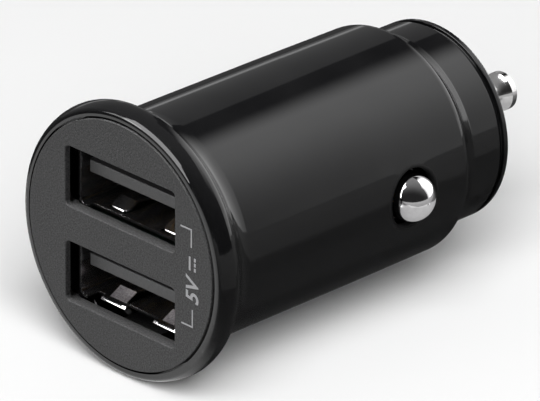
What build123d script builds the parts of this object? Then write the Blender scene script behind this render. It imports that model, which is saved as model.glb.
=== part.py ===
from build123d import *
import os
from math import acos, cos, degrees, hypot, radians, sin, sqrt

# Car charger plug with two USB ports, in millimetres. The axis of the plug is Y: the face lies at y = 0,
# the tip points to +Y, X runs to the right as seen from the front and Z runs up.

# USB ports: inside of each metal shield, its sheet, its bends and its place behind the face
port_width = 12.5
port_height = 5.12
shield_sheet = 0.25
shield_bend = 0.8
shield_front = 1.5
shield_length = 12.7
upper_port_z = 3.95
lower_port_z = -4.38
floor_set_back = 1.35
lip_set_back = 0.7
lip_width = 2.9
lip_lead_run = 0.13
lip_lead_drop = 0.2
tab_offset = 3.14
tab_width = 1.95
tab_slot_gap = 0.2
tab_rise = 0.62
tab_lead = 0.3
tab_flat = 0.12
tab_nose = 0.06
tab_nose_rise = 0.1
tab_ramp = 1.2
tab_length = 4.2
tab_root = 0.6
tab_tip_round = 0.6
leg_width = 1.8
leg_places = (3.2, 9.4)

# Tongue and contact strips in each port
tongue_side_gap = 0.5
tongue_thickness = 1.11
tongue_set_back = 0.55
upper_tongue_offset = 0.78
lower_tongue_offset = 0.57
heel_length = 2.2
heel_clearance = 0.1
strip_width = 1.0
strip_thickness = 0.2
strip_set_back = 1.4
strip_offsets = (-3.5, -1.0, 1.0, 3.5)
strip_clearance = 0.08
strip_overhang = 0.5
strip_bend = 0.4

# Barrel shell: wall around the ports, side contacts along it, guide stretch ahead of them and rear edge
bore_clearance = 0.09
shell_wall = 0.75
contact_y = 24.2
guide_set_back = 3.8
contact_tail = 7.05
barrel_draft = 0.05
rear_round_length = 0.85
seam_inset = 0.54
rear_bore_radius = 8.7
rear_bore_length = 2.95

# Flange: how far it stands out of the barrel, its front lip, crowned side, bead and concave neck
flange_overhang = 1.9
rim_width = 0.98
rim_set_back = 0.12
lip_round = 0.5
crown_start = 60
bead_y = 1.6
bead_round = 1.1
neck_round = 3.0

# Face plate: thickness, seam to the rim and the two port mouths
plate_thickness = 1.4
plate_seam = 0.2
plate_edge = 0.04
mouth_width = 13.06
mouth_height = 5.5
mouth_corner = 0.45
mouth_edge = 0.1
mouth_land = 1.1
mouth_side_land = 0.55
mouth_relief = 0.2
mouth_side_relief = 0.9
upper_mouth_z = 4.3
lower_mouth_z = -4.38
hook_width = 4.4
hook_thickness = 0.85
hook_length = 3.2
hook_clearance = 0.12
barb_depth = 0.32
barb_length = 0.8

# Nose cap: stepped outside, snap spigot, end wall and the guide for the tip
nose_radius = 8.87
nose_length = 5.78
nose_edge = 0.3
bevel_length = 1.5
nose_seam_width = 0.12
nose_seam_depth = 0.25
lip_length = 0.6
groove_width = 0.5
groove_depth = 0.35
spigot_clearance = 0.1
spigot_length = 2.7
spigot_wall = 1.1
snap_depth = 0.22
snap_width = 0.6
snap_clearance = 0.1
snap_set_back = 1.3
end_wall = 2.0
guide_wall = 0.9
guide_spare = 1.35

# Tip: turned pin with a flared head, its collar and its spring
pin_radius = 1.72
pin_clearance = 0.08
tip_reach = 8.97
dome_height = 0.55
rim_height = 0.55
flare_length = 1.5
waist_radius = 1.2
waist_length = 0.5
shoulder_length = 0.5
collar_radius = 2.6
collar_length = 1.0
collar_clearance = 0.08
stop_gap = 0.05
tail_radius = 1.35
tail_length = 1.2
tip_travel = 2.2
spring_radius = 1.87
spring_wire = 0.35
spring_turns = 5
spring_seat_gap = 0.02
terminal_radius = 2.6
terminal_sheet = 0.4
prong_width = 2.0
prong_length = 1.6
prong_sheet = 0.3

# Side contacts: domed buttons in round holes, each carried by a leaf spring on the circuit board
contact_radius = 2.1
contact_proud = 1.73
contact_hole_radius = 2.56
contact_hole_edge = 0.12
contact_travel = 1.8
contact_spare = 1.4
brim_radius = 3.0
brim_thickness = 0.5
brim_clearance = 0.12
rivet_radius = 0.7
rivet_length = 0.55
rivet_clearance = 0.06
leaf_thickness = 0.25
leaf_width = 3.4
leaf_gap = 0.04
leaf_foot_length = 2.4
leaf_foot_gap = 0.6
leaf_bend = 0.6
leaf_pad_length = 4.4

# Circuit board: wide between the ports, narrow between the side contacts
board_thickness = 1.6
board_front = 2.4
board_waist = 7.7
board_tail = 2.65
board_edge_gap = 0.5
rail_depth = 0.45
rail_height = 0.7
rail_clearance = 0.05

# Electronic components on the board
seat_gap = 0.03
can_radius = 3.1
can_length = 6.5
can_set_back = 2.1
can_spacing = 0.1
can_edge = 0.4
can_lead_radius = 0.25
can_lead_spacing = 2.5
can_lead_reach = 0.6
small_can_radius = 2.0
small_can_height = 5.0
small_can_base = 1.0
coil_radius = 2.9
coil_height = 4.4
coil_flange = 0.9
coil_hub_radius = 1.5
winding_gap = 0.15
controller_size = (4.9, 3.9, 1.5)
controller_lead_size = (0.42, 0.9, 0.25)
controller_lead_pitch = 1.27
controller_leads_per_side = 4
controller_gap = 0.15
diode_size = (1.5, 2.7, 1.05)
port_chip_size = (1.5, 2.9, 1.0)
chip_edge_gap = 0.1
chip_set_back = 2.7
fuse_size = (1.5, 3.1, 0.6)
fuse_gap = 1.45
small_chip_size = (0.8, 1.6, 0.45)
small_chip_start = 2.2
small_chip_pitch = 2.4
small_chips_per_side = 3

# Sizes that follow from those above
shield_back = shield_front + shield_length
tongue_width = port_width - 2 * tongue_side_gap
port_reach = max(abs(upper_port_z), abs(lower_port_z)) + port_height / 2 + shield_sheet
corner_x = port_width / 2 + shield_sheet - shield_bend
bore_radius = hypot(corner_x, port_reach - shield_bend) + shield_bend + bore_clearance
barrel_radius = bore_radius + shell_wall
flange_radius = barrel_radius + flange_overhang
recess_radius = flange_radius - rim_width
plate_radius = recess_radius - plate_seam
neck_turn = acos((barrel_radius + neck_round - flange_radius + bead_round) / (neck_round + bead_round))
neck_end = bead_y + (bead_round + neck_round) * sin(neck_turn)
can_front = shield_back + can_set_back
small_can_y = can_front + can_length + can_spacing + small_can_radius
prong_front = small_can_y + small_can_radius + can_spacing
board_back = prong_front + prong_length
coil_y = prong_front - can_spacing - coil_radius
controller_reach = controller_size[1] / 2 + controller_lead_size[1]
controller_y = coil_y - coil_radius - controller_gap - controller_reach
guide_end = contact_y - guide_set_back
seam_y = max(contact_y + contact_tail, board_back + board_tail)
rear_round_start = seam_y - rear_round_length
seam_radius = barrel_radius - barrel_draft - seam_inset
nose_end = seam_y + nose_length
tip_end = nose_end + tip_reach
small_chips_front = board_front + small_chip_start
small_chips_back = small_chips_front + (small_chips_per_side - 1) * small_chip_pitch + small_chip_size[1] / 2
fuse_y = small_chips_back + fuse_gap + fuse_size[1] / 2
board_step = max(contact_y - board_waist, fuse_y + fuse_size[1] / 2 + chip_edge_gap)
upper_floor = upper_port_z - port_height / 2
lower_roof = lower_port_z + port_height / 2
board_z = (upper_floor + lower_roof) / 2
board_top = board_z + board_thickness / 2
board_bottom = board_z - board_thickness / 2
board_front_half_width = bore_radius - board_edge_gap
rail_inside = board_front_half_width - rail_depth
edge_chip_x = (port_width / 2 + shield_sheet + rail_inside) / 2
hook_groove_front = plate_thickness + hook_length - barb_length - hook_clearance
hook_groove_back = plate_thickness + hook_length + hook_clearance
wall_inside = nose_end - end_wall
collar_front = wall_inside - stop_gap
collar_back = collar_front - collar_length
guide_length = stop_gap + collar_length + tip_travel + guide_spare
brim_face = sqrt(bore_radius**2 - brim_radius**2) - brim_clearance
brim_back = brim_face - brim_thickness
board_rear_half_width = brim_back - rivet_length - contact_travel - contact_spare
snap_back = seam_y - snap_set_back


def block(low, high):
    """A box between two opposite corners."""
    size = [b - a for a, b in zip(low, high)]
    middle = [(a + b) / 2 for a, b in zip(low, high)]
    return Pos(*middle) * Box(*size)


def turned(*edges):
    """A piece turned about the plug's axis from a half section, x being the radius."""
    return revolve(make_face(edges), Axis.Y)


def turned_corners(*points):
    """A turned piece whose half section has straight sides only."""
    return turned(*Polyline(*points, close=True).edges())


def oblong(width, height, corner, z, front, back):
    """A prism with rounded corners along the axis, between two depths behind the face."""
    outline = Plane.XZ * Pos(0, z) * RectangleRounded(width, height, corner)
    return Pos(0, front, 0) * extrude(outline, amount=back - front, dir=(0, 1, 0))


def strip(path, thickness, width, x):
    """A bent strip of sheet: a path in the YZ plane with the sheet's thickness, spread across X."""
    section = Plane.YZ * trace(path, thickness)
    return Pos(x, 0, 0) * extrude(section, amount=width / 2, both=True)


def post(radius, height):
    """A round post that stands on its base."""
    return Cylinder(radius, height, align=(Align.CENTER, Align.CENTER, Align.MIN))


def mirrored(shape):
    """The same piece on the other side of the plug."""
    return mirror(shape, about=Plane.YZ)


def barrel_shell():
    """Moulded tube with flange, neck, side holes, board rails and the grooves of the two snap fits."""
    bead = (flange_radius - bead_round, bead_y)
    reach = bead_round + neck_round
    neck = (bead[0] + reach * cos(neck_turn), bead[1] + reach * sin(neck_turn))
    crown_reach = (bead_y - rim_set_back - lip_round) / cos(radians(crown_start))
    crown_round = crown_reach + lip_round
    crown = (flange_radius - crown_round, bead_y)
    lip = (crown[0] + crown_reach * sin(radians(crown_start)), rim_set_back + lip_round)
    barrel_rear_radius = barrel_radius - barrel_draft
    snap_radius = rear_bore_radius - spigot_clearance + snap_depth + snap_clearance
    barb_radius = bore_radius + barb_depth
    inside = Polyline(
        (seam_radius, seam_y),
        (rear_bore_radius, seam_y),
        (rear_bore_radius, snap_back + snap_clearance),
        (snap_radius, snap_back + snap_clearance),
        (snap_radius, snap_back - snap_width - snap_clearance),
        (rear_bore_radius, snap_back - snap_width - snap_clearance),
        (rear_bore_radius, seam_y - rear_bore_length),
        (bore_radius, seam_y - rear_bore_length),
        (bore_radius, hook_groove_back),
        (barb_radius, hook_groove_back),
        (barb_radius, hook_groove_front),
        (bore_radius, hook_groove_front),
        (bore_radius, plate_thickness),
        (recess_radius, plate_thickness),
        (recess_radius, rim_set_back),
        (lip[0], rim_set_back),
    )
    shell = turned(
        *inside.edges(),
        CenterArc(lip, lip_round, -90, crown_start),
        CenterArc(crown, crown_round, crown_start - 90, 90 - crown_start),
        CenterArc(bead, bead_round, 0, degrees(neck_turn)),
        CenterArc(neck, neck_round, 180, degrees(neck_turn)),
        Line((barrel_radius, neck_end), (barrel_radius, guide_end)),
        Line((barrel_radius, guide_end), (barrel_rear_radius, rear_round_start)),
        TangentArc((barrel_rear_radius, rear_round_start), (seam_radius, seam_y), tangent=(0, 1)),
    )
    across = Plane(origin=(0, contact_y, 0), z_dir=(1, 0, 0))
    shell -= across * Cylinder(contact_hole_radius, 2 * flange_radius)
    rim = [
        edge
        for edge in shell.edges()
        if abs(edge.center().Y - contact_y) < contact_hole_radius
        and abs(edge.center().X) > bore_radius + contact_hole_edge
    ]
    shell = fillet(rim, contact_hole_edge)
    mid_wall = bore_radius + shell_wall / 2
    inside_wall = turned_corners((0, 0), (mid_wall, 0), (mid_wall, seam_y), (0, seam_y))
    for face, way in ((board_top, 1), (board_bottom, -1)):
        near = face + way * rail_clearance
        far = near + way * rail_height
        rail = inside_wall & block(
            (rail_inside, hook_groove_back, min(near, far)),
            (barrel_radius, board_step, max(near, far)),
        )
        shell += rail + mirrored(rail)
    return shell


def face_plate():
    """Disc with the two port mouths and a snap hook at the top and at the bottom."""
    plate = turned_corners(
        (0, 0),
        (plate_radius - plate_edge, 0),
        (plate_radius, plate_edge),
        (plate_radius, plate_thickness),
        (0, plate_thickness),
    )
    for z in (upper_mouth_z, lower_mouth_z):
        plate -= oblong(mouth_width, mouth_height, mouth_corner, z, 0, plate_thickness)
        wide = mouth_width + 2 * mouth_side_relief
        high = mouth_height + 2 * mouth_relief
        plate -= oblong(wide, mouth_height, mouth_corner, z, mouth_side_land, plate_thickness)
        plate -= oblong(mouth_width, high, mouth_corner, z, mouth_land, plate_thickness)
    mouths = [
        edge
        for edge in plate.edges()
        if edge.bounding_box().max.Y < mouth_edge / 2 and edge.bounding_box().size.X < mouth_width
    ]
    plate = fillet(mouths, mouth_edge)
    arm_radius = bore_radius - hook_clearance
    hook_end = plate_thickness + hook_length
    arm = turned_corners(
        (arm_radius - hook_thickness, plate_thickness),
        (arm_radius, plate_thickness),
        (arm_radius, hook_end - barb_length),
        (arm_radius + barb_depth, hook_end - barb_length),
        (arm_radius, hook_end),
        (arm_radius - hook_thickness, hook_end),
    )
    half = hook_width / 2
    above = block((-half, 0, 0), (half, seam_y, barrel_radius))
    below = block((-half, 0, -barrel_radius), (half, seam_y, 0))
    return plate + (arm & above) + (arm & below)


def nose_cap():
    """Stepped end piece that snaps into the back of the barrel and guides the tip pin."""
    spigot_radius = rear_bore_radius - spigot_clearance
    cavity_radius = spigot_radius - spigot_wall
    spigot_front = seam_y - spigot_length
    shoulder = seam_radius - nose_seam_depth
    bevel_end = seam_y + bevel_length
    groove_back = nose_end - lip_length
    groove_front = groove_back - groove_width
    groove_radius = nose_radius - groove_depth
    hole_radius = pin_radius + pin_clearance
    guide_radius = collar_radius + collar_clearance
    guide_front = wall_inside - guide_length
    outline = Polyline(
        (nose_radius - nose_edge, nose_end),
        (hole_radius, nose_end),
        (hole_radius, wall_inside),
        (guide_radius, wall_inside),
        (guide_radius, guide_front),
        (guide_radius + guide_wall, guide_front),
        (guide_radius + guide_wall, wall_inside),
        (cavity_radius, wall_inside),
        (cavity_radius, spigot_front),
        (spigot_radius, spigot_front),
        (spigot_radius, snap_back - snap_width),
        (spigot_radius + snap_depth, snap_back),
        (spigot_radius, snap_back),
        (spigot_radius, seam_y),
        (shoulder, seam_y),
        (shoulder, seam_y + nose_seam_width),
        (seam_radius, seam_y + nose_seam_width),
        (nose_radius, bevel_end),
        (nose_radius, groove_front),
        (groove_radius, groove_front),
        (groove_radius, groove_back),
        (nose_radius, groove_back),
        (nose_radius, nose_end - nose_edge),
    )
    end_round = CenterArc((nose_radius - nose_edge, nose_end - nose_edge), nose_edge, 0, 90)
    return turned(*outline.edges(), end_round)


def tip_pin():
    """Turned centre contact: tail, collar, shaft, waist, flared head and domed end."""
    rim_back = tip_end - dome_height - rim_height
    waist_end = rim_back - flare_length
    waist_start = waist_end - waist_length
    outline = Polyline(
        (0, tip_end),
        (0, collar_back - tail_length),
        (tail_radius, collar_back - tail_length),
        (tail_radius, collar_back),
        (collar_radius, collar_back),
        (collar_radius, collar_front),
        (pin_radius, collar_front),
        (pin_radius, waist_start - shoulder_length),
        (waist_radius, waist_start),
        (waist_radius, waist_end),
    )
    flare = TangentArc((waist_radius, waist_end), (pin_radius, rim_back), tangent=(0, 1))
    rim = Line((pin_radius, rim_back), (pin_radius, rim_back + rim_height))
    dome = TangentArc((0, tip_end), (pin_radius, rim_back + rim_height), tangent=(1, 0))
    return turned(*outline.edges(), flare, rim, dome)


def tip_spring():
    """Round wire wound between the terminal and the collar of the pin."""
    first = board_back + terminal_sheet + spring_wire / 2 + spring_seat_gap
    last = collar_back - spring_wire / 2 - spring_seat_gap
    height = last - first
    path = Helix(height / spring_turns, height, spring_radius)
    start = Plane(origin=path @ 0, z_dir=path % 0)
    coil = sweep(start * Circle(spring_wire / 2), path=path, is_frenet=True)
    return Pos(0, first, 0) * Rot(-90, 0, 0) * coil


def tip_terminal():
    """Sheet brass seat for the spring, with two prongs that grip the end of the board."""
    terminal = turned_corners(
        (0, board_back),
        (terminal_radius, board_back),
        (terminal_radius, board_back + terminal_sheet),
        (0, board_back + terminal_sheet),
    )
    half = prong_width / 2
    back = board_back + terminal_sheet / 2
    terminal += block((-half, prong_front, board_top), (half, back, board_top + prong_sheet))
    terminal += block((-half, prong_front, board_bottom - prong_sheet), (half, back, board_bottom))
    return terminal


def side_contact():
    """Turned button for the right side: dome, neck, retaining brim and rivet tail."""
    apex = barrel_radius + contact_proud
    centre = apex - contact_radius
    button = turned(
        *Polyline(
            (0, apex),
            (0, brim_back - rivet_length),
            (rivet_radius, brim_back - rivet_length),
            (rivet_radius, brim_back),
            (brim_radius, brim_back),
            (brim_radius, brim_face),
            (contact_radius, brim_face),
            (contact_radius, centre),
        ).edges(),
        CenterArc((0, centre), contact_radius, 0, 90),
    )
    return Pos(0, contact_y, 0) * Rot(0, 0, -90) * button


def contact_leaf():
    """Leaf spring for the right side, from its foot on the board's edge to the pad behind the button."""
    foot = board_rear_half_width + leaf_thickness / 2
    pad = brim_back - leaf_gap - leaf_thickness / 2
    foot_front = board_step + leaf_foot_gap
    path = FilletPolyline(
        (foot, foot_front),
        (foot, foot_front + leaf_foot_length),
        (pad, contact_y - leaf_pad_length / 2),
        (pad, contact_y + leaf_pad_length / 2),
        radius=leaf_bend,
    )
    leaf = extrude(trace(path, leaf_thickness), amount=leaf_width / 2, both=True)
    across = Plane(origin=(pad, contact_y, 0), z_dir=(1, 0, 0))
    return leaf - across * Cylinder(rivet_radius + rivet_clearance, 2 * brim_radius)


def circuit_board():
    """Printed board, stepped in where the side contacts move."""
    wide = board_front_half_width
    narrow = board_rear_half_width
    outline = make_face(
        Polyline(
            (-wide, board_front),
            (wide, board_front),
            (wide, board_step),
            (narrow, board_step),
            (narrow, board_back),
            (-narrow, board_back),
            (-narrow, board_step),
            (-wide, board_step),
            close=True,
        ).edges()
    )
    return Pos(0, 0, board_bottom) * extrude(outline, amount=board_thickness, dir=(0, 0, 1))


def front_rooted_tab(floor_front):
    """Side view of a spring tab that starts at a lip, rises into the port and ends free at the back."""
    crest = floor_front + tab_ramp
    tip = crest + tab_length - tab_slot_gap
    return Polyline(
        (floor_front - tab_root, 0),
        (floor_front, 0),
        (crest, tab_rise),
        (tip, tab_rise / 2),
    )


def rear_rooted_tab(floor_front):
    """Side view of a spring tab that starts free at the front, rises and runs down into the floor."""
    tip = floor_front - tab_lead + tab_slot_gap
    nose = tip + tab_flat + tab_nose
    root = floor_front + tab_ramp + tab_length
    return Polyline(
        (tip, 0),
        (tip + tab_flat, 0),
        (nose, tab_nose_rise),
        (nose + tab_ramp, tab_rise),
        (root, 0),
        (root + tab_root, 0),
    )


def port_shield(z, board_face, front_lips):
    """Folded sheet shell of a port, with two spring tabs in its floor and legs to the board."""
    wide = port_width + 2 * shield_sheet
    high = port_height + 2 * shield_sheet
    outer = oblong(wide, high, shield_bend, z, shield_front, shield_back)
    inner = oblong(port_width, port_height, shield_bend - shield_sheet, z, shield_front, shield_back)
    shield = outer - inner
    floor = z - port_height / 2
    cut_low = floor - 2 * shield_sheet
    cut_high = floor + shield_sheet / 2
    flat = port_width / 2 - shield_bend
    lip_front = shield_front + lip_set_back
    floor_front = shield_front + floor_set_back
    shield -= block((-flat, 0, cut_low), (flat, lip_front, cut_high))
    if front_lips:
        inside, outside = tab_offset - lip_width / 2, tab_offset + lip_width / 2
        for left, right in ((-flat, -outside), (-inside, inside), (outside, flat)):
            shield -= block((left, 0, cut_low), (right, floor_front, cut_high))
        lead_in = Polyline(
            (lip_front, floor),
            (lip_front + lip_lead_run, floor),
            (lip_front, floor - lip_lead_drop),
            close=True,
        )
        shield -= extrude(Plane.YZ * make_face(lead_in), amount=flat, both=True)
    slot = tab_width / 2 + tab_slot_gap
    slot_front = floor_front if front_lips else floor_front - tab_lead
    slot_end = floor_front + tab_ramp + tab_length
    path = front_rooted_tab(floor_front) if front_lips else rear_rooted_tab(floor_front)
    for x in (-tab_offset, tab_offset):
        shield -= block((x - slot, slot_front, cut_low), (x + slot, slot_end, cut_high))
        tab = strip(Pos(0, floor - shield_sheet / 2) * path, shield_sheet, tab_width, x)
        if not front_lips:
            outline = RectangleRounded(tab_width, 2 * shield_length, tab_tip_round)
            round_tip = Pos(x, slot_front + tab_slot_gap + shield_length, cut_low) * outline
            tab &= extrude(round_tip, amount=port_height, dir=(0, 0, 1))
        shield += tab
    side = port_width / 2
    for place in leg_places:
        front = shield_front + place
        leg = block(
            (side, front, min(z, board_face)),
            (side + shield_sheet, front + leg_width, max(z, board_face)),
        )
        shield += leg + mirrored(leg)
    return shield


def strip_path(z, tongue_offset, board_face):
    """Line of a contact strip: along the underside of the tongue, out at the back and to the board."""
    line = z + tongue_offset - tongue_thickness / 2 - strip_thickness / 2
    back = shield_back + strip_overhang
    return FilletPolyline(
        (shield_front + strip_set_back, line),
        (back, line),
        (back, board_face),
        radius=strip_bend,
    )


def port_tongue(z, tongue_offset):
    """Moulded insulator of a port: the heel that fills the back of the shield, and the tongue."""
    heel_front = shield_back - heel_length
    half = port_width / 2 - heel_clearance
    low = z - port_height / 2 + heel_clearance
    high = z + port_height / 2 - heel_clearance
    corner = shield_bend - shield_sheet
    heel = oblong(2 * half, high - low, corner, z, heel_front, shield_back)
    middle = z + tongue_offset
    tongue = block(
        (-tongue_width / 2, shield_front + tongue_set_back, middle - tongue_thickness / 2),
        (tongue_width / 2, heel_front + heel_length / 2, middle + tongue_thickness / 2),
    )
    insulator = heel + tongue
    underside = middle - tongue_thickness / 2
    for x in strip_offsets:
        reach = strip_width / 2 + strip_clearance
        insulator -= block(
            (x - reach, heel_front - strip_clearance, underside - strip_thickness - strip_clearance),
            (x + reach, shield_back + strip_clearance, underside),
        )
    return insulator


def port_contacts(z, tongue_offset, board_face):
    """The four contact strips of a port."""
    path = strip_path(z, tongue_offset, board_face)
    return Compound(children=[strip(path, strip_thickness, strip_width, x) for x in strip_offsets])


def input_capacitor():
    """Electrolytic can lying on the board, with two leads bent down to it."""
    z = board_top + seat_gap + can_radius
    can = turned_corners(
        (0, can_front),
        (can_radius - can_edge, can_front),
        (can_radius, can_front + can_edge),
        (can_radius, can_front + can_length),
        (0, can_front + can_length),
    )
    can = Pos(0, 0, z) * can
    for x in (-can_lead_spacing / 2, can_lead_spacing / 2):
        out = Plane(origin=(x, can_front - can_lead_reach, z), z_dir=(0, 1, 0))
        can += out * post(can_lead_radius, 2 * can_lead_reach)
        down = Pos(x, can_front - can_lead_reach, board_top)
        lead_height = z + can_lead_radius - board_top
        can += down * post(can_lead_radius, lead_height)
    return can


def output_capacitor():
    """Upright surface-mount can on its square base."""
    base = block(
        (-small_can_radius, small_can_y - small_can_radius, board_top),
        (small_can_radius, small_can_y + small_can_radius, board_top + small_can_base),
    )
    return base + Pos(0, small_can_y, board_top) * post(small_can_radius, small_can_height)


def coil_ring(inner, outer, low, high):
    """A ring about the upright axis of the inductor."""
    ring = post(outer, high - low)
    if inner > 0:
        ring -= post(inner, high - low)
    return Pos(0, coil_y, low) * ring


def inductor_core():
    """Ferrite drum: two flanges on a hub."""
    low = board_bottom - coil_height
    core = coil_ring(0, coil_hub_radius, low, board_bottom)
    core += coil_ring(0, coil_radius, low, low + coil_flange)
    core += coil_ring(0, coil_radius, board_bottom - coil_flange, board_bottom)
    return core


def inductor_winding():
    """Copper winding that fills the drum between its flanges."""
    low = board_bottom - coil_height + coil_flange
    return coil_ring(coil_hub_radius, coil_radius - winding_gap, low, board_bottom - coil_flange)


def chip(size, place, face, way):
    """A flat component on one face of the board, way being +1 above it and -1 below."""
    low = face if way > 0 else face - size[2]
    return block(
        (place[0] - size[0] / 2, place[1] - size[1] / 2, low),
        (place[0] + size[0] / 2, place[1] + size[1] / 2, low + size[2]),
    )


def buck_controller():
    """Moulded package under the board with a row of leads on both sides."""
    package = chip(controller_size, (0, controller_y), board_bottom, -1)
    out = controller_size[1] / 2 + controller_lead_size[1] / 2
    span = (controller_leads_per_side - 1) * controller_lead_pitch
    for count in range(controller_leads_per_side):
        x = count * controller_lead_pitch - span / 2
        for side in (-1, 1):
            package += chip(controller_lead_size, (x, controller_y + side * out), board_bottom, -1)
    return package


def rear_chip(size, side):
    """A component on top of the board, close to the edge of its narrow end, side being +1 or -1."""
    x = board_rear_half_width - chip_edge_gap - size[0] / 2
    return chip(size, (side * x, board_step + chip_set_back), board_top, 1)


def input_fuse():
    """Fuse beside the upper port, between its shield and the rail."""
    return chip(fuse_size, (edge_chip_x, fuse_y), board_top, 1)


def chip_row(face, way):
    """Small components along both edges of the board, on one of its faces."""
    rows = [small_chips_front + count * small_chip_pitch for count in range(small_chips_per_side)]
    places = [(x, y) for x in (-edge_chip_x, edge_chip_x) for y in rows]
    return Compound(children=[chip(small_chip_size, place, face, way) for place in places])


parts = {
    "barrel_shell": barrel_shell(),
    "face_plate": face_plate(),
    "nose_cap": nose_cap(),
    "tip_pin": tip_pin(),
    "tip_spring": tip_spring(),
    "tip_terminal": tip_terminal(),
    "side_contact_right": side_contact(),
    "side_contact_left": mirrored(side_contact()),
    "contact_leaf_right": contact_leaf(),
    "contact_leaf_left": mirrored(contact_leaf()),
    "circuit_board": circuit_board(),
    "upper_port_shield": port_shield(upper_port_z, board_top, front_lips=False),
    "upper_port_tongue": port_tongue(upper_port_z, upper_tongue_offset),
    "upper_port_contacts": port_contacts(upper_port_z, upper_tongue_offset, board_top),
    "lower_port_shield": port_shield(lower_port_z, board_bottom, front_lips=True),
    "lower_port_tongue": port_tongue(lower_port_z, lower_tongue_offset),
    "lower_port_contacts": port_contacts(lower_port_z, lower_tongue_offset, board_bottom),
    "input_capacitor": input_capacitor(),
    "output_capacitor": output_capacitor(),
    "inductor_core": inductor_core(),
    "inductor_winding": inductor_winding(),
    "buck_controller": buck_controller(),
    "rectifier_diode": rear_chip(diode_size, 1),
    "port_controller": rear_chip(port_chip_size, -1),
    "input_fuse": input_fuse(),
    "chip_resistors": chip_row(board_top, 1),
    "chip_capacitors": chip_row(board_bottom, -1),
}

os.makedirs("parts", exist_ok=True)
for name, shape in parts.items():
    export_step(shape, f"parts/{name}.step")
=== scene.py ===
from math import asin, atan2, ceil, cos, pi, radians, sin, tan

import bmesh
import bpy
from mathutils import Matrix, Vector


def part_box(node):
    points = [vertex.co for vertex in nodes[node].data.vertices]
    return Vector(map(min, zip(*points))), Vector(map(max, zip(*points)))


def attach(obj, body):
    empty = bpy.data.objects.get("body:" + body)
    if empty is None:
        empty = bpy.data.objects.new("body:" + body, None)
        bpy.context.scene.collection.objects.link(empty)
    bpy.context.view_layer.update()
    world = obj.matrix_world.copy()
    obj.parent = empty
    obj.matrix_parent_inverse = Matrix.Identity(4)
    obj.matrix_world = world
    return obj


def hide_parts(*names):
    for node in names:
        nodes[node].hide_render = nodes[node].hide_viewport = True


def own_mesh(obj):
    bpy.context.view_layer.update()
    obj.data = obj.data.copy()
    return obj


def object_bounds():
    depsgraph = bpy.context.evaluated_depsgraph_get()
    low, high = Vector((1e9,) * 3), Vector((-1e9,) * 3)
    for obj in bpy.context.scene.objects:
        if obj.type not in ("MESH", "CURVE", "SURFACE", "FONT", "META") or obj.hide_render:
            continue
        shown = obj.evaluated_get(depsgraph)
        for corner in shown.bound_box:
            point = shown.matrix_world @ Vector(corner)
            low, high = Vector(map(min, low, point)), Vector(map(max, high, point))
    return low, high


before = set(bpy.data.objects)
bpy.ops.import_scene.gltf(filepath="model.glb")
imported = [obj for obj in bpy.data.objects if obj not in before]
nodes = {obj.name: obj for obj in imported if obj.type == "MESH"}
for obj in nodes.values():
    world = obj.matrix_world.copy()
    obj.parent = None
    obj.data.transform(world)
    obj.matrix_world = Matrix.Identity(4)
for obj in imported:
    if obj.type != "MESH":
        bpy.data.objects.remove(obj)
cad_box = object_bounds()


# Circuit board: glass fibre sheet under dark green solder mask, milled to a wide front and a narrow
# rear. It slides into the rails of the barrel and carries everything electrical.
mm = 0.001
noise_low = 0.3
noise_high = 0.7


def new_finish(name):
    """A new material, with its node tree and its main shader."""
    material = bpy.data.materials.new(name)
    material.use_nodes = True
    return material, material.node_tree, material.node_tree.nodes["Principled BSDF"]


def grain(tree, size, detail=2.0, stretch=(1.0, 1.0, 1.0)):
    """Noise fixed to the piece, with patches of the given size in metres."""
    place = tree.nodes.new("ShaderNodeTexCoord")
    mapping = tree.nodes.new("ShaderNodeMapping")
    mapping.inputs["Scale"].default_value = stretch
    noise = tree.nodes.new("ShaderNodeTexNoise")
    noise.inputs["Scale"].default_value = 1.0 / size
    noise.inputs["Detail"].default_value = detail
    tree.links.new(place.outputs["Object"], mapping.inputs["Vector"])
    tree.links.new(mapping.outputs["Vector"], noise.inputs["Vector"])
    return noise.outputs["Fac"]


def two_tone(tree, shader, pattern, dark, light):
    """A base colour that wanders between two tones."""
    ramp = tree.nodes.new("ShaderNodeValToRGB")
    ramp.color_ramp.elements[0].position = noise_low
    ramp.color_ramp.elements[1].position = noise_high
    ramp.color_ramp.elements[0].color = (*dark, 1.0)
    ramp.color_ramp.elements[1].color = (*light, 1.0)
    tree.links.new(pattern, ramp.inputs["Fac"])
    tree.links.new(ramp.outputs["Color"], shader.inputs["Base Color"])
    return ramp.outputs["Color"]


def graded(tree, value, start, end, low=0.0, high=1.0, curve="LINEAR"):
    """A node whose result goes from low to high while the value goes from start to end."""
    span = tree.nodes.new("ShaderNodeMapRange")
    span.interpolation_type = curve
    span.inputs["From Min"].default_value = start
    span.inputs["From Max"].default_value = end
    span.inputs["To Min"].default_value = low
    span.inputs["To Max"].default_value = high
    tree.links.new(value, span.inputs["Value"])
    return span


def uneven_gloss(tree, shader, pattern, low, high):
    """A roughness that wanders between two values."""
    span = graded(tree, pattern, noise_low, noise_high, low, high)
    tree.links.new(span.outputs["Result"], shader.inputs["Roughness"])
    return span.outputs["Result"]


def relief(tree, shader, pattern, depth):
    """Fine relief of the given depth in metres."""
    bump = tree.nodes.new("ShaderNodeBump")
    bump.inputs["Strength"].default_value = 1.0
    bump.inputs["Distance"].default_value = depth
    tree.links.new(pattern, bump.inputs["Height"])
    tree.links.new(bump.outputs["Normal"], shader.inputs["Normal"])


def dress(material, *names):
    """Puts a finish on pieces that keep their solid's shape."""
    for name in names:
        for place in nodes[name].material_slots:
            place.material = material


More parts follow.
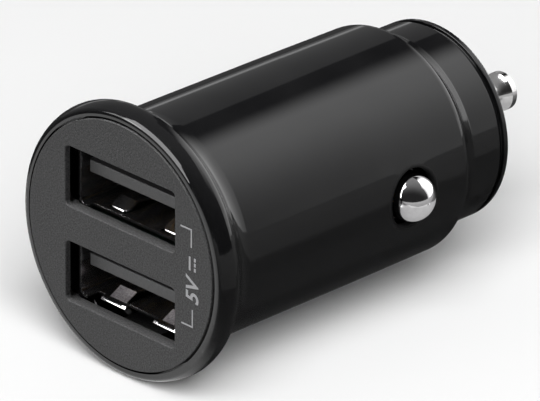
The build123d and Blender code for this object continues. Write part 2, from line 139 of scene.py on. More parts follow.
solder_mask, tree, shader = new_finish("solder_mask_on_glass_fibre")
mask_grain = grain(tree, size=1.2 * mm, detail=3.0)
two_tone(tree, shader, mask_grain, dark=(0.006, 0.03, 0.016), light=(0.01, 0.045, 0.024))
uneven_gloss(tree, shader, grain(tree, size=0.5 * mm), low=0.3, high=0.42)
relief(tree, shader, grain(tree, size=0.25 * mm), depth=0.004 * mm)
dress(solder_mask, "circuit_board")


# Parts soldered to the board: two aluminium capacitor cans, a ferrite drum with its copper winding,
# black moulded packages, a white ceramic fuse and rows of small ceramic chips.
fine_relief = 0.002 * mm


def plain_finish(name, dark, light, patch, gloss, metallic=0.0, stretch=(1.0, 1.0, 1.0)):
    """A finish with a slight grain, for the small pieces inside."""
    material, tree, shader = new_finish(name)
    shader.inputs["Metallic"].default_value = metallic
    pattern = grain(tree, size=patch, detail=3.0, stretch=stretch)
    two_tone(tree, shader, pattern, dark, light)
    uneven_gloss(tree, shader, pattern, *gloss)
    relief(tree, shader, pattern, fine_relief)
    return material


drawn_can = plain_finish(
    "drawn_aluminium",
    dark=(0.62, 0.62, 0.63),
    light=(0.76, 0.76, 0.77),
    patch=0.3 * mm,
    gloss=(0.25, 0.4),
    metallic=1.0,
    stretch=(1.0, 0.1, 1.0),
)
dress(drawn_can, "input_capacitor", "output_capacitor")
ferrite = plain_finish(
    "pressed_ferrite",
    dark=(0.045, 0.045, 0.05),
    light=(0.075, 0.075, 0.08),
    patch=0.15 * mm,
    gloss=(0.6, 0.75),
)
dress(ferrite, "inductor_core")
epoxy = plain_finish(
    "moulded_epoxy",
    dark=(0.015, 0.015, 0.016),
    light=(0.025, 0.025, 0.026),
    patch=0.1 * mm,
    gloss=(0.5, 0.65),
)
dress(epoxy, "buck_controller", "rectifier_diode", "port_controller", "chip_resistors")
tan_ceramic = plain_finish(
    "tan_ceramic",
    dark=(0.38, 0.26, 0.16),
    light=(0.5, 0.36, 0.23),
    patch=0.2 * mm,
    gloss=(0.4, 0.55),
)
dress(tan_ceramic, "chip_capacitors")
white_ceramic = plain_finish(
    "white_ceramic",
    dark=(0.68, 0.68, 0.64),
    light=(0.78, 0.78, 0.75),
    patch=0.2 * mm,
    gloss=(0.4, 0.55),
)
dress(white_ceramic, "input_fuse")

wire_pitch = 0.3 * mm
wire_relief = 0.1 * mm
lacquer_coat = 0.5
bands_per_scale = 20.0 / (2 * pi)
copper, tree, shader = new_finish("lacquered_copper_wire")
shader.inputs["Metallic"].default_value = 1.0
shader.inputs["Coat Weight"].default_value = lacquer_coat
two_tone(tree, shader, grain(tree, size=0.8 * mm), dark=(0.55, 0.2, 0.08), light=(0.7, 0.32, 0.15))
uneven_gloss(tree, shader, grain(tree, size=0.4 * mm), low=0.25, high=0.35)
place = tree.nodes.new("ShaderNodeTexCoord")
turns = tree.nodes.new("ShaderNodeTexWave")
turns.bands_direction = "Z"
turns.inputs["Scale"].default_value = 1.0 / (wire_pitch * bands_per_scale)
tree.links.new(place.outputs["Object"], turns.inputs["Vector"])
relief(tree, shader, turns.outputs["Fac"], wire_relief)
dress(copper, "inductor_winding")


# Port shields: thin tin-plated steel, folded into an oblong shell and soldered to the board by its legs.
# Spring tabs stand up from the floor of each, to press on the plug that is pushed in.
merge_distance = 0.0005 * mm
flat_within = radians(1)
sharp_beyond = radians(30)
rounding_segments = 3
round_profile = 0.5
seen_depth = 6.0 * mm


def softened(name, node, rounding, slot, *finishes):
    """A piece with its solid's shape, and its sharp edges rounded as far in as can be seen."""
    shape = bmesh.new()
    shape.from_mesh(nodes[node].data)
    bmesh.ops.remove_doubles(shape, verts=shape.verts, dist=merge_distance)
    bmesh.ops.dissolve_limit(shape, angle_limit=flat_within, verts=shape.verts, edges=shape.edges)
    sharp = [
        edge
        for edge in shape.edges
        if len(edge.link_faces) == 2
        and edge.calc_face_angle() > sharp_beyond
        and max(vertex.co.y for vertex in edge.verts) < seen_depth
    ]
    bmesh.ops.bevel(
        shape,
        geom=sharp,
        offset=rounding,
        offset_type="OFFSET",
        segments=rounding_segments,
        profile=round_profile,
        affect="EDGES",
        clamp_overlap=True,
    )
    shape.verts.index_update()
    places = [tuple(vertex.co) for vertex in shape.verts]
    faces = [[vertex.index for vertex in face.verts] for face in shape.faces]
    shape.free()
    mesh = bpy.data.meshes.new(name)
    mesh.from_pydata(places, [], faces)
    mesh.shade_smooth()
    for finish in finishes:
        mesh.materials.append(finish)
    piece = bpy.data.objects.new(name, mesh)
    bpy.context.scene.collection.objects.link(piece)
    piece.modifiers.new("flat_faces", "WEIGHTED_NORMAL")
    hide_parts(node)
    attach(piece, "housing")
    return piece


tin_plate, tree, shader = new_finish("tin_plate")
shader.inputs["Metallic"].default_value = 1.0
tin_grain = grain(tree, size=0.22 * mm, detail=4.0)
two_tone(tree, shader, tin_grain, dark=(0.4, 0.39, 0.4), light=(0.54, 0.53, 0.54))
uneven_gloss(tree, shader, grain(tree, size=0.13 * mm), low=0.16, high=0.24)
relief(tree, shader, grain(tree, size=0.09 * mm, detail=3.0), depth=0.002 * mm)
rubbed_tin, tree, shader = new_finish("rubbed_tin")
shader.inputs["Metallic"].default_value = 1.0
rubbed_grain = grain(tree, size=0.16 * mm, detail=4.0)
two_tone(tree, shader, rubbed_grain, dark=(0.26, 0.245, 0.26), light=(0.56, 0.535, 0.555))
uneven_gloss(tree, shader, grain(tree, size=0.13 * mm), low=0.5, high=0.62)
relief(tree, shader, grain(tree, size=0.12 * mm, detail=3.0), depth=0.012 * mm)

sheared_edge = 0.04 * mm
softened("upper_port_shield_folded", "upper_port_shield", sheared_edge, "shield_tin", tin_plate)
lower_shield = softened(
    "lower_port_shield_folded", "lower_port_shield", sheared_edge, "shield_tin", tin_plate, rubbed_tin
)
ramp_lean = 0.3
ramp_rise = 0.7
rubbed_index = 1
for face in lower_shield.data.polygons:
    if face.normal.y < -ramp_lean and face.normal.z > ramp_rise:
        face.material_index = rubbed_index


# Port tongues: charcoal insulators moulded as a heel and a flat tongue, pushed into the shields from
# behind. The tongue carries the contact strips on its underside.
tongue_specular = 0.35
tongue_edge = 0.1 * mm
tongue_plastic, tree, shader = new_finish("moulded_charcoal")
shader.inputs["Specular IOR Level"].default_value = tongue_specular
tongue_grain = grain(tree, size=0.2 * mm, detail=3.0)
two_tone(tree, shader, tongue_grain, dark=(0.064, 0.064, 0.065), light=(0.08, 0.08, 0.081))
uneven_gloss(tree, shader, grain(tree, size=0.3 * mm), low=0.45, high=0.6)
relief(tree, shader, grain(tree, size=0.12 * mm, detail=3.0), depth=0.006 * mm)
for port in ("upper_port", "lower_port"):
    softened(port + "_tongue_moulded", port + "_tongue", tongue_edge, "tongue_charcoal", tongue_plastic)


# Contact strips: four flash-gold strips in each port, stamped and bent, clipped into the heel and
# soldered to the board at their tails.
flash_gold = plain_finish(
    "flash_gold",
    dark=(0.68, 0.43, 0.16),
    light=(0.84, 0.58, 0.25),
    patch=0.3 * mm,
    gloss=(0.18, 0.3),
    metallic=1.0,
    stretch=(1.0, 0.15, 1.0),
)
dress(flash_gold, "upper_port_contacts", "lower_port_contacts")


# Barrel shell: one moulding of gloss black plastic, a tube with a rolled flange at the front, a concave
# neck behind it and a round hole on each side. The mould was polished, except for the pins of the holes.
gloss_specular = 0.36
gloss_black, tree, shader = new_finish("gloss_black_plastic")
shader.inputs["Specular IOR Level"].default_value = gloss_specular
black_grain = grain(tree, size=4.0 * mm)
two_tone(tree, shader, black_grain, dark=(0.004, 0.004, 0.0043), light=(0.0055, 0.0055, 0.0058))
polish = uneven_gloss(tree, shader, grain(tree, size=1.2 * mm, detail=3.0), low=0.06, high=0.09)
relief(tree, shader, grain(tree, size=2.5 * mm), depth=0.0008 * mm)

contact_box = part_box("side_contact_right")
hole_middle = (contact_box[0] + contact_box[1]) / 2
matt_within = 2.7 * mm
gloss_beyond = 2.95 * mm
matt_roughness = 0.95
place = tree.nodes.new("ShaderNodeTexCoord")
sideways = tree.nodes.new("ShaderNodeVectorMath")
sideways.operation = "MULTIPLY"
sideways.inputs[1].default_value = (0.0, 1.0, 1.0)
tree.links.new(place.outputs["Object"], sideways.inputs[0])
from_hole = tree.nodes.new("ShaderNodeVectorMath")
from_hole.operation = "DISTANCE"
from_hole.inputs[1].default_value = (0.0, hole_middle.y, hole_middle.z)
tree.links.new(sideways.outputs["Vector"], from_hole.inputs[0])
shine = graded(tree, from_hole.outputs["Value"], matt_within, gloss_beyond, low=matt_roughness)
tree.links.new(polish, shine.inputs["To Max"])
tree.links.new(shine.outputs["Result"], shader.inputs["Roughness"])
dress(gloss_black, "barrel_shell")


# Side contacts: nickel-plated buttons with a polished dome, trapped behind the wall by their brims. The
# brims carry painted shade, nearly black, inside the holes. A bronze leaf spring on the board's edge presses
# each one out.
def place_on_piece(tree):
    """The place on the piece, as three separate numbers."""
    place = tree.nodes.new("ShaderNodeTexCoord")
    split = tree.nodes.new("ShaderNodeSeparateXYZ")
    tree.links.new(place.outputs["Object"], split.inputs["Vector"])
    return split.outputs


bright_nickel, tree, shader = new_finish("bright_nickel")
shader.inputs["Metallic"].default_value = 1.0
nickel_grain = grain(tree, size=0.7 * mm)
nickel_tone = two_tone(tree, shader, nickel_grain, dark=(0.76, 0.75, 0.76), light=(0.84, 0.83, 0.84))
uneven_gloss(tree, shader, grain(tree, size=0.25 * mm, detail=3.0), low=0.05, high=0.11)
relief(tree, shader, grain(tree, size=0.5 * mm), depth=0.0006 * mm)

# Painted shade: nearer the axis than 9 mm the base colour is darkened nearly to black, and it brightens again
# by 9.7 mm.
shade_within = 9.0 * mm
unshaded_beyond = 9.7 * mm
painted_shade_level = 0.03
outwards = tree.nodes.new("ShaderNodeMath")
outwards.operation = "ABSOLUTE"
tree.links.new(place_on_piece(tree)["X"], outwards.inputs[0])
painted_brim_shade = graded(tree, outwards.outputs["Value"], shade_within, unshaded_beyond, low=painted_shade_level)
shaded_nickel = tree.nodes.new("ShaderNodeVectorMath")
shaded_nickel.operation = "SCALE"
tree.links.new(nickel_tone, shaded_nickel.inputs[0])
tree.links.new(painted_brim_shade.outputs["Result"], shaded_nickel.inputs["Scale"])
tree.links.new(shaded_nickel.outputs["Vector"], shader.inputs["Base Color"])
dress(bright_nickel, "side_contact_right", "side_contact_left")

leaf_bronze = plain_finish(
    "phosphor_bronze",
    dark=(0.6, 0.38, 0.2),
    light=(0.74, 0.5, 0.29),
    patch=0.4 * mm,
    gloss=(0.25, 0.38),
    metallic=1.0,
    stretch=(1.0, 0.2, 1.0),
)


def squeezed_spring(name, node, finish):
    """A spring of its solid's shape, with the given finish."""
    piece = bpy.data.objects.new(name, nodes[node].data.copy())
    bpy.context.scene.collection.objects.link(piece)
    piece.data.materials.clear()
    piece.data.materials.append(finish)
    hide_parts(node)
    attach(piece, "housing")
    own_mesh(piece)


for side, way in (("right", 1.0), ("left", -1.0)):
    node = "contact_leaf_" + side
    low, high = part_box(node)
    foot = low if way > 0 else high
    squeezed_spring(
        node + "_spring",
        node,
        leaf_bronze,
    )


# Nose cap: gloss black moulding that snaps into the back of the barrel, with a bevel, a fine groove and
# an end lip outside, and a sleeve inside that guides the tip. All its edges are slightly rounded.
facet_turn = radians(15)
fewest_facets = 2
on_axis = 1e-6


def rounded_outline(corners, closed):
    """Points of a half section and the way each one faces, from corners of (radius, place, rounding)."""
    points = []
    count = len(corners)
    for index, (radius, place, rounding) in enumerate(corners):
        here = Vector((radius, place))
        before = Vector(corners[index - 1][:2])
        after = Vector(corners[(index + 1) % count][:2])
        way_in = (here - before).normalized()
        way_out = (after - here).normalized()
        if not closed and index == 0:
            points.append((here, Vector((0.0, -1.0))))
            continue
        if not closed and index == count - 1:
            points.append((here, Vector((0.0, 1.0))))
            continue
        face_in = Vector((way_in.y, -way_in.x))
        turn = atan2(way_in.cross(way_out), way_in.dot(way_out))
        if rounding == 0:
            points.append((here, Matrix.Rotation(turn / 2, 2) @ face_in))
            continue
        sense = 1.0 if turn > 0 else -1.0
        start = here - way_in * rounding * tan(abs(turn) / 2)
        centre = start - sense * rounding * face_in
        facets = max(fewest_facets, ceil(abs(turn) / facet_turn))
        for step in range(facets + 1):
            facing = Matrix.Rotation(turn * step / facets, 2) @ face_in
            points.append((centre + sense * rounding * facing, facing))
    return points


def turned(name, corners, closed, steps):
    """A piece turned about the plug's axis from the corners of its half section, in millimetres."""
    outline = rounded_outline(corners, closed)
    places = []
    facings = []
    rings = []
    for point, facing in outline:
        count = 1 if point.x < on_axis else steps
        rings.append((len(places), count))
        for step in range(count):
            angle = 2 * pi * step / steps
            places.append(Vector((point.x * cos(angle), point.y, point.x * sin(angle))) * mm)
            facings.append(Vector((facing.x * cos(angle), facing.y, facing.x * sin(angle))))
    faces = []
    pairs = list(zip(rings, rings[1:]))
    if closed:
        pairs.append((rings[-1], rings[0]))
    for (first, first_count), (second, second_count) in pairs:
        for step in range(steps):
            after = (step + 1) % steps
            if first_count == 1:
                faces.append((first, second + step, second + after))
            elif second_count == 1:
                faces.append((first + step, second, first + after))
            else:
                faces.append((first + step, second + step, second + after, first + after))
    mesh = bpy.data.meshes.new(name)
    mesh.from_pydata(places, [], faces)
    mesh.shade_smooth()
    mesh.normals_split_custom_set_from_vertices(facings)
    piece = bpy.data.objects.new(name, mesh)
    bpy.context.scene.collection.objects.link(piece)
    return piece


nose_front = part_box("nose_cap")[0].y / mm
nose_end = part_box("nose_cap")[1].y / mm
nose_steps = 160
seam_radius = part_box("nose_cap")[1].x / mm
seam_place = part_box("barrel_shell")[1].y / mm
seam_depth = 0.25
seam_width = 0.12
nose_radius = 8.87
bevel_length = 1.5
bevel_edge = 0.35
lip_length = 0.6
lip_edge = 0.3
groove_width = 0.5
groove_depth = 0.35
groove_edge = 0.1
spigot_radius = 8.6
spigot_wall = 1.1
snap_depth = 0.22
snap_width = 0.6
snap_inset = 1.3
end_wall = 2.0
guide_radius = 2.68
guide_wall = 0.9
guide_length = 4.6
pin_hole_radius = 1.8
pin_hole_edge = 0.12
fine_edge = 0.06
inner_edge = 0.05
snap_back = seam_place - snap_inset
wall_inside = nose_end - end_wall
groove_back = nose_end - lip_length
groove_front = groove_back - groove_width
nose = turned(
    "nose_cap_moulding",
    [
        (pin_hole_radius, nose_end, pin_hole_edge),
        (pin_hole_radius, wall_inside, inner_edge),
        (guide_radius, wall_inside, inner_edge),
        (guide_radius, wall_inside - guide_length, inner_edge),
        (guide_radius + guide_wall, wall_inside - guide_length, inner_edge),
        (guide_radius + guide_wall, wall_inside, inner_edge),
        (spigot_radius - spigot_wall, wall_inside, inner_edge),
        (spigot_radius - spigot_wall, nose_front, inner_edge),
        (spigot_radius, nose_front, inner_edge),
        (spigot_radius, snap_back - snap_width, inner_edge),
        (spigot_radius + snap_depth, snap_back, inner_edge),
        (spigot_radius, snap_back, inner_edge),
        (spigot_radius, seam_place, inner_edge),
        (seam_radius - seam_depth, seam_place, inner_edge),
        (seam_radius - seam_depth, seam_place + seam_width, inner_edge),
        (seam_radius, seam_place + seam_width, fine_edge),
        (nose_radius, seam_place + bevel_length, bevel_edge),
        (nose_radius, groove_front, groove_edge),
        (nose_radius - groove_depth, groove_front, fine_edge),
        (nose_radius - groove_depth, groove_back, fine_edge),
        (nose_radius, groove_back, fine_edge),
        (nose_radius, nose_end, lip_edge),
    ],
    closed=True,
    steps=nose_steps,
)
nose.data.materials.append(gloss_black)
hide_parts("nose_cap")
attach(nose, "housing")


# Tip: a turned and nickel-plated pin with a flared head, held by its collar inside the nose. A steel
# coil spring between the brass terminal on the board's end and the collar pushes it out.
brass = plain_finish(
    "rolled_brass",
    dark=(0.6, 0.42, 0.16),
    light=(0.76, 0.57, 0.27),
    patch=0.4 * mm,
    gloss=(0.25, 0.4),
    metallic=1.0,
    stretch=(1.0, 1.0, 0.2),
)
dress(brass, "tip_terminal")

spring_wire = plain_finish(
    "spring_wire",
    dark=(0.42, 0.42, 0.43),
    light=(0.56, 0.56, 0.57),
    patch=0.2 * mm,
    gloss=(0.25, 0.4),
    metallic=1.0,
)
squeezed_spring(
    "tip_spring_coil",
    "tip_spring",
    spring_wire,
)

pin_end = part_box("tip_pin")[1].y / mm
tail_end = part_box("tip_pin")[0].y / mm
collar_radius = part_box("tip_pin")[1].x / mm
pin_radius = 1.72
tail_radius = 1.35
tail_length = 1.2
tail_edge = 0.15
collar_length = 1.0
shoulder_length = 0.5
shoulder_edge = 0.15
waist_radius = 1.2
waist_length = 0.5
flare_length = 1.5
rim_height = 0.55
rim_back_edge = 0.08
rim_front_edge = 0.1
dome_height = 0.55
dome_steps = 8
pin_steps = 96
rim_back = pin_end - dome_height - rim_height
waist_end = rim_back - flare_length
waist_start = waist_end - waist_length
collar_back = tail_end + tail_length
corners = [
    (0.0, tail_end, 0.0),
    (tail_radius, tail_end, tail_edge),
    (tail_radius, collar_back, inner_edge),
    (collar_radius, collar_back, fine_edge),
    (collar_radius, collar_back + collar_length, fine_edge),
    (pin_radius, collar_back + collar_length, inner_edge),
    (pin_radius, waist_start - shoulder_length, shoulder_edge),
    (waist_radius, waist_start, shoulder_edge),
    (waist_radius, waist_end, 0.0),
]
flare_rise = pin_radius - waist_radius
flare_radius = (flare_length**2 + flare_rise**2) / (2 * flare_rise)
flare_turn = asin(flare_length / flare_radius)
for step in range(1, dome_steps):
    turn = flare_turn * step / dome_steps
    corners.append((waist_radius + flare_radius * (1 - cos(turn)), waist_end + flare_radius * sin(turn), 0.0))
corners.append((pin_radius, rim_back, rim_back_edge))
corners.append((pin_radius, rim_back + rim_height, rim_front_edge))
dome_radius = (pin_radius**2 + dome_height**2) / (2 * dome_height)
dome_turn = asin(pin_radius / dome_radius)
for step in range(1, dome_steps):
    turn = dome_turn * (1 - step / dome_steps)
    corners.append((dome_radius * sin(turn), pin_end - dome_radius * (1 - cos(turn)), 0.0))
corners.append((0.0, pin_end, 0.0))
tip = turned("tip_pin_turned", corners, closed=False, steps=pin_steps)

turned_nickel, tree, shader = new_finish("turned_nickel")
shader.inputs["Metallic"].default_value = 1.0
turned_grain = grain(tree, size=0.3 * mm, detail=3.0)
two_tone(tree, shader, turned_grain, dark=(0.84, 0.83, 0.83), light=(0.92, 0.91, 0.91))
uneven_gloss(tree, shader, grain(tree, size=0.4 * mm, detail=3.0), low=0.14, high=0.2)
tool_marks = grain(tree, size=0.3 * mm, detail=3.0, stretch=(0.4, 2.5, 0.4))
relief(tree, shader, tool_marks, depth=0.0006 * mm)
tip.data.materials.append(turned_nickel)
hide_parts("tip_pin")
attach(tip, "tip")


# Face plate: charcoal disc with two port mouths, moulded in a spark-eroded tool that leaves a fine even
# grain. Two hooks hold it in the flange, with a narrow dark seam all round.
plate_specular = 0.11
charcoal, tree, shader = new_finish("charcoal_grain_plastic")
shader.inputs["Specular IOR Level"].default_value = plate_specular
plate_grain = grain(tree, size=0.14 * mm, detail=4.0)
two_tone(tree, shader, plate_grain, dark=(0.023, 0.023, 0.0235), light=(0.072, 0.072, 0.0725))
uneven_gloss(tree, shader, grain(tree, size=0.3 * mm), low=0.52, high=0.66)
relief(tree, shader, grain(tree, size=0.17 * mm, detail=4.0), depth=0.045 * mm)
dress(charcoal, "face_plate")


# Print on the face: light grey ink, a corner bracket beside each port and between them a plain voltage
# mark that reads upwards, with the line and dashes of direct current.
ink_height = 0.012 * mm
ink_sink = 0.004 * mm
ink, tree, shader = new_finish("light_grey_ink")
ink_grain = grain(tree, size=0.1 * mm, detail=3.0)
two_tone(tree, shader, ink_grain, dark=(0.27, 0.27, 0.28), light=(0.34, 0.34, 0.35))
uneven_gloss(tree, shader, grain(tree, size=0.2 * mm), low=0.45, high=0.6)


def printed(name, places, faces):
    """A printed mark that lies on the face plate."""
    mesh = bpy.data.meshes.new(name)
    mesh.from_pydata(places, [], faces)
    mesh.materials.append(ink)
    piece = bpy.data.objects.new(name, mesh)
    bpy.context.scene.collection.objects.link(piece)
    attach(piece, "housing")


def ink_outline(name, outlines):
    """Flat marks from their outlines, given in millimetres to the right and up, counter-clockwise."""
    places = []
    faces = []
    for outline in outlines:
        start = len(places)
        count = len(outline)
        places += [(x * mm, -ink_height, z * mm) for x, z in outline]
        places += [(x * mm, ink_sink, z * mm) for x, z in outline]
        faces.append(tuple(range(start, start + count)))
        faces.append(tuple(range(start + 2 * count - 1, start + count - 1, -1)))
        for step in range(count):
            after = (step + 1) % count
            faces.append((start + step, start + count + step, start + count + after, start + after))
    printed(name, places, faces)


def bracket(first, corner, last, width):
    """The outline of an angled stroke through three points."""
    first, corner, last = Vector(first), Vector(corner), Vector(last)
    way_in = (corner - first).normalized()
    way_out = (last - corner).normalized()
    left_in = Vector((-way_in.y, way_in.x)) * width / 2
    left_out = Vector((-way_out.y, way_out.x)) * width / 2
    left_corner = left_in + left_out
    return [
        first - left_in,
        corner - left_corner,
        last - left_out,
        last + left_out,
        corner + left_corner,
        first + left_in,
    ]


stroke = 0.13
upper_bracket = bracket(first=(8.49, 2.8), corner=(8.49, 4.4), last=(7.22, 4.4), width=stroke)
lower_bracket = bracket(first=(7.37, -4.33), corner=(8.65, -4.33), last=(8.65, -2.77), width=stroke)
ink_outline("print_upper_bracket", [upper_bracket])
ink_outline("print_lower_bracket", [lower_bracket])

dash_low = 0.72
dash_high = 1.95
dash_width = 0.2
line_x = 8.32
dash_x = 8.92
dashes = 3
dash_gap = 0.13
dash_length = (dash_high - dash_low - (dashes - 1) * dash_gap) / dashes
bars = [(line_x, dash_low, dash_high)]
for step in range(dashes):
    low = dash_low + step * (dash_length + dash_gap)
    bars.append((dash_x, low, low + dash_length))
ink_outline(
    "print_current_mark",
    [
        [
            (x - dash_width / 2, low),
            (x + dash_width / 2, low),
            (x + dash_width / 2, high),
            (x - dash_width / 2, high),
        ]
        for x, low, high in bars
    ],
)

mark_left = 7.88
mark_right = 9.36
mark_low = -2.15
mark_high = 0.3
letter_slant = 0.2
letter_weight = 0.018
letter_thickness = 0.5
letters = bpy.data.curves.new("letters", "FONT")
letters.body = "5V"
letters.shear = letter_slant
letters.offset = letter_weight
letters.extrude = letter_thickness
letters_shape = bpy.data.meshes.new_from_object(bpy.data.objects.new("letters", letters))
flat = [vertex.co.copy() for vertex in letters_shape.vertices]
left = min(point.x for point in flat)
right = max(point.x for point in flat)
foot = min(point.y for point in flat)
top = max(point.y for point in flat)
places = []
for point in flat:
    along = (point.x - left) / (right - left)
    rise = (point.y - foot) / (top - foot)
    places.append(
        (
            (mark_right - rise * (mark_right - mark_left)) * mm,
            -ink_height if point.z > 0 else ink_sink,
            (mark_low + along * (mark_high - mark_low)) * mm,
        )
    )
printed("print_voltage", places, [tuple(face.vertices) for face in letters_shape.polygons])


# Camera: at the height and side from which the plug was photographed, far away with a long lens, so
# that a picture 540 pixels wide holds the whole plug.
picture_width = 540
camera_place = Vector((378.249, -356.773, 248.544)) * mm
camera_azimuth = radians(45.315)
camera_elevation = radians(25.17)
camera_roll = radians(0.527)
focal_pixels = 7014.9
sensor_width = 36.0
nearest_seen = 0.01
farthest_seen = 100.0
back = Vector(
    (
        sin(camera_azimuth) * cos(camera_elevation),
        -cos(camera_azimuth) * cos(camera_elevation),
        sin(camera_elevation),
    )
)
level_right = Vector((0.0, 0.0, 1.0)).cross(back).normalized()
level_up = back.cross(level_right)
right = cos(camera_roll) * level_right + sin(camera_roll) * level_up
up = cos(camera_roll) * level_up - sin(camera_roll) * level_right
camera_data = bpy.data.cameras.new("camera")
camera_data.sensor_fit = "HORIZONTAL"
camera_data.sensor_width = sensor_width
camera_data.lens = focal_pixels * sensor_width / picture_width
camera_data.clip_start = nearest_seen
camera_data.clip_end = farthest_seen
camera = bpy.data.objects.new("camera", camera_data)
camera.matrix_world = Matrix.Translation(camera_place) @ Matrix((right, up, back)).transposed().to_4x4()
bpy.context.scene.collection.objects.link(camera)
bpy.context.scene.camera = camera


# Floor: a plain white table of matt paper, wide enough to fill the picture from any side. The plug touches
# it with the lowest point of its flange.
floor_level = cad_box[0][2]
floor_radius = 3.0
ring_count = 96
paper_white = 0.86
paper_roughness = 0.9
paper_specular = 0.1


def table_disc(name, level):
    """A flat disc as wide as the table."""
    points = [(0.0, 0.0, 0.0)]
    for step in range(ring_count):
        angle = 2 * pi * step / ring_count
        points.append((floor_radius * cos(angle), floor_radius * sin(angle), 0.0))
    faces = [(0, 1 + step, 1 + (step + 1) % ring_count) for step in range(ring_count)]
    mesh = bpy.data.meshes.new(name)
    mesh.from_pydata(points, [], faces)
    disc = bpy.data.objects.new(name, mesh)
    disc.location = (0.0, 0.0, level)
    bpy.context.scene.collection.objects.link(disc)
    return disc


floor = table_disc("floor", floor_level)
table_paper, tree, shader = new_finish("table_paper")
shader.inputs["Base Color"].default_value = (paper_white, paper_white, paper_white, 1.0)
shader.inputs["Roughness"].default_value = paper_roughness
shader.inputs["Specular IOR Level"].default_value = paper_specular
floor.data.materials.append(table_paper)


# Graded card: a broad sheet on the table that shows only in the gloss and the metal. It is white in front
# of the flange and grey further out on the right. Dark under the barrel and close beside it, it is a painted
# shadow of the plug.
def glowing(name):
    """A new material that only glows, with its node tree and its glow."""
    material = bpy.data.materials.new(name)
    material.use_nodes = True
    tree = material.node_tree
    tree.nodes.remove(tree.nodes["Principled BSDF"])
    glow = tree.nodes.new("ShaderNodeEmission")
    tree.links.new(glow.outputs["Emission"], tree.nodes["Material Output"].inputs["Surface"])
    return material, tree, glow


def show_only_in_gloss(card):
    """Keeps a card out of the picture, and out of plain light and shade."""
    card.visible_camera = False
    card.visible_diffuse = False
    card.visible_shadow = False


def tones_across(tree, sideways, tones):
    """Greys from left to right, from pairs of a place in metres and a tone."""
    first_place = tones[0][0]
    last_place = tones[-1][0]
    across = graded(tree, sideways, first_place, last_place)
    ramp = tree.nodes.new("ShaderNodeValToRGB")
    ramp.color_ramp.interpolation = "EASE"
    while len(ramp.color_ramp.elements) < len(tones):
        ramp.color_ramp.elements.new(1.0)
    for stop, (place, tone) in zip(ramp.color_ramp.elements, tones):
        stop.position = (place - first_place) / (last_place - first_place)
        level = tone / brightest_tone
        stop.color = (level, level, level, 1.0)
    tree.links.new(across.outputs["Result"], ramp.inputs["Fac"])
    return ramp.outputs["Color"]


card_lift = 0.02 * mm
brightest_tone = 1.7
# Painted shadow: the dark tones under the barrel and up to 31 mm to its right stand for the plug's shadow.
tones_in_front_with_painted_shadow = (
    (-0.1, 0.07),
    (-0.06, 0.08),
    (-0.04, brightest_tone),
    (0.008, brightest_tone),
    (0.014, 0.4),
    (0.02, 0.2),
    (0.031, 0.18),
    (0.037, 0.38),
    (0.06, 0.42),
    (0.1, 0.48),
)
tones_behind_with_painted_shadow = (
    (-0.1, 0.07),
    (-0.06, 0.05),
    (0.008, 0.04),
    (0.012, 0.1),
    (0.014, 0.12),
    (0.018, 0.15),
    (0.031, 0.18),
    (0.037, 0.38),
    (0.06, 0.42),
    (0.1, 0.48),
)
front_until = -0.002
behind_from = 0.004
graded_card = table_disc("graded_card", floor_level + card_lift)
show_only_in_gloss(graded_card)
graded_paper, tree, glow = glowing("graded_paper")
glow.inputs["Strength"].default_value = brightest_tone
place = place_on_piece(tree)
backwards = graded(tree, place["Y"], front_until, behind_from)
both = tree.nodes.new("ShaderNodeMix")
both.data_type = "RGBA"
tree.links.new(backwards.outputs["Result"], both.inputs["Factor"])
front_colour, behind_colour = [socket for socket in both.inputs if socket.type == "RGBA"]
tree.links.new(tones_across(tree, place["X"], tones_in_front_with_painted_shadow), front_colour)
tree.links.new(tones_across(tree, place["X"], tones_behind_with_painted_shadow), behind_colour)
mixed_colour = next(socket for socket in both.outputs if socket.type == "RGBA")
tree.links.new(mixed_colour, glow.inputs["Color"])
graded_card.data.materials.append(graded_paper)


# Studio light: one soft lamp lights only the table and another only the plug. The rest are cards that show
# only in the gloss and the metal: large and small ones in front, a slim one for the domes, a low one under
# the bright metal, a tall one behind the tip and a far strip.
plug_middle = Vector((0.0, 16.0, 0.0)) * mm


def soft_lamp(name, direction, distance, width, height, watts):
    """An area lamp that faces the plug from the given side."""
    data = bpy.data.lights.new(name, "AREA")
    data.shape = "RECTANGLE"
    data.size = width
    data.size_y = height
    data.energy = watts
    lamp = bpy.data.objects.new(name, data)
    lamp.location = plug_middle + Vector(direction).normalized() * distance
    lamp.rotation_euler = (plug_middle - lamp.location).to_track_quat("-Z", "Y").to_euler()
    bpy.context.scene.collection.objects.link(lamp)
    return lamp


def share_light(lamp, name, pieces, link_state):
    """Gives a lamp's light to the pieces alone (INCLUDE) or to all but them (EXCLUDE)."""
    group = bpy.data.collections.new(name)
    for piece in pieces:
        group.objects.link(piece)
    for member in group.collection_objects:
        member.light_linking.link_state = link_state
    lamp.light_linking.receiver_collection = group


table_lamp = soft_lamp(
    "table_lamp", direction=(0.52, -0.5, 0.7), distance=1.2, width=1.0, height=1.0, watts=25.0
)
table_lamp.visible_glossy = False
share_light(table_lamp, "only_table", [floor], "INCLUDE")
top_lamp = soft_lamp(
    "top_lamp", direction=(-0.05, -0.16, 0.985), distance=0.45, width=0.16, height=0.16, watts=5.0
)
top_lamp.visible_glossy = False
share_light(top_lamp, "not_table", [floor], "EXCLUDE")
domes = [nodes["side_contact_right"], nodes["side_contact_left"]]
overhead_card = soft_lamp(
    "overhead_card", direction=(-0.2, -0.66, 0.68), distance=0.45, width=0.42, height=0.56, watts=5.9
)
overhead_card.visible_diffuse = False
share_light(overhead_card, "not_domes", domes, "EXCLUDE")
slim_card = soft_lamp(
    "slim_card", direction=(-0.36, -0.66, 0.62), distance=0.45, width=0.13, height=0.42, watts=1.37
)
slim_card.visible_diffuse = False
share_light(slim_card, "only_domes", domes, "INCLUDE")
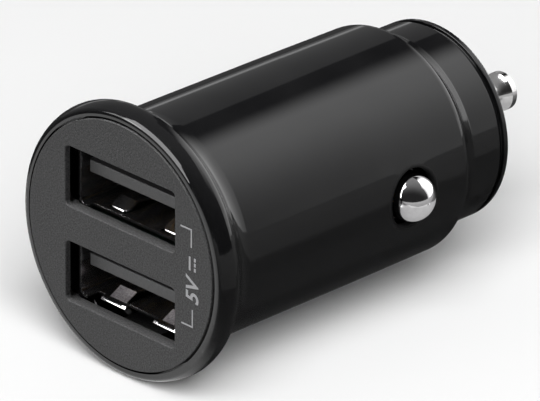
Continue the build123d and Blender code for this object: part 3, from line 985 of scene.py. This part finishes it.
front_card = soft_lamp(
    "front_card", direction=(-0.62, -0.7, 0.35), distance=0.45, width=0.16, height=0.12, watts=0.32
)
front_card.visible_diffuse = False
metal_card = soft_lamp(
    "metal_card", direction=(0.0, 0.0, -1.0), distance=0.011, width=0.08, height=0.07, watts=0.007
)
metal_card.visible_camera = False
share_light(metal_card, "only_metal", [tip, *domes], "INCLUDE")


def upright_card(name, left, right, low, high, finish):
    """A glowing upright card between two places on the table, given as (x, y) in metres."""
    mesh = bpy.data.meshes.new(name)
    mesh.from_pydata([(*left, low), (*right, low), (*right, high), (*left, high)], [], [(0, 1, 2, 3)])
    mesh.materials.append(finish)
    card = bpy.data.objects.new(name, mesh)
    bpy.context.scene.collection.objects.link(card)
    show_only_in_gloss(card)


card_left = (-0.3, 0.45)
card_right = (0.58, 0.45)
card_top = 0.75
card_slant = 0.23
edge_dark = -0.284
edge_bright = -0.064
card_bright_to = 0.13
card_dark_at = 0.78
card_strength = 2.15
card_glow, tree, glow = glowing("card_glow")
place = place_on_piece(tree)
slant = tree.nodes.new("ShaderNodeMath")
slant.operation = "MULTIPLY_ADD"
slant.inputs[1].default_value = -card_slant
tree.links.new(place["Z"], slant.inputs[0])
tree.links.new(place["X"], slant.inputs[2])
rise = graded(tree, slant.outputs["Value"], edge_dark, edge_bright, curve="SMOOTHSTEP")
fall = graded(tree, place["X"], card_bright_to, card_dark_at, low=card_strength, high=0.0, curve="SMOOTHSTEP")
strength = tree.nodes.new("ShaderNodeMath")
strength.operation = "MULTIPLY"
tree.links.new(rise.outputs["Result"], strength.inputs[0])
tree.links.new(fall.outputs["Result"], strength.inputs[1])
tree.links.new(strength.outputs["Value"], glow.inputs["Strength"])
upright_card("back_card", card_left, card_right, floor_level, card_top, card_glow)

strip_left = (-0.9, 0.35)
strip_right = (-0.4, 0.85)
strip_low = 0.06
strip_high = 0.12
strip_strength = 0.8
strip_glow, tree, glow = glowing("strip_glow")
glow.inputs["Strength"].default_value = strip_strength
upright_card("far_strip", strip_left, strip_right, strip_low, strip_high, strip_glow)

bright_side = (-0.6, 0.6, 0.53)
dark_until = -0.4
bright_after = 0.9
room_dark = 0.02
room_bright = 0.24
world = bpy.data.worlds.new("studio")
world.use_nodes = True
tree = world.node_tree
room = tree.nodes["Background"]
room.inputs["Color"].default_value = (1.0, 1.0, 1.0, 1.0)
place = tree.nodes.new("ShaderNodeTexCoord")
across = tree.nodes.new("ShaderNodeVectorMath")
across.operation = "DOT_PRODUCT"
across.inputs[1].default_value = bright_side
tree.links.new(place.outputs["Generated"], across.inputs[0])
shade = graded(
    tree, across.outputs["Value"], dark_until, bright_after, room_dark, room_bright, curve="SMOOTHSTEP"
)
tree.links.new(shade.outputs["Result"], room.inputs["Strength"])
bpy.context.scene.world = world
bpy.context.scene.view_settings.view_transform = "Standard"
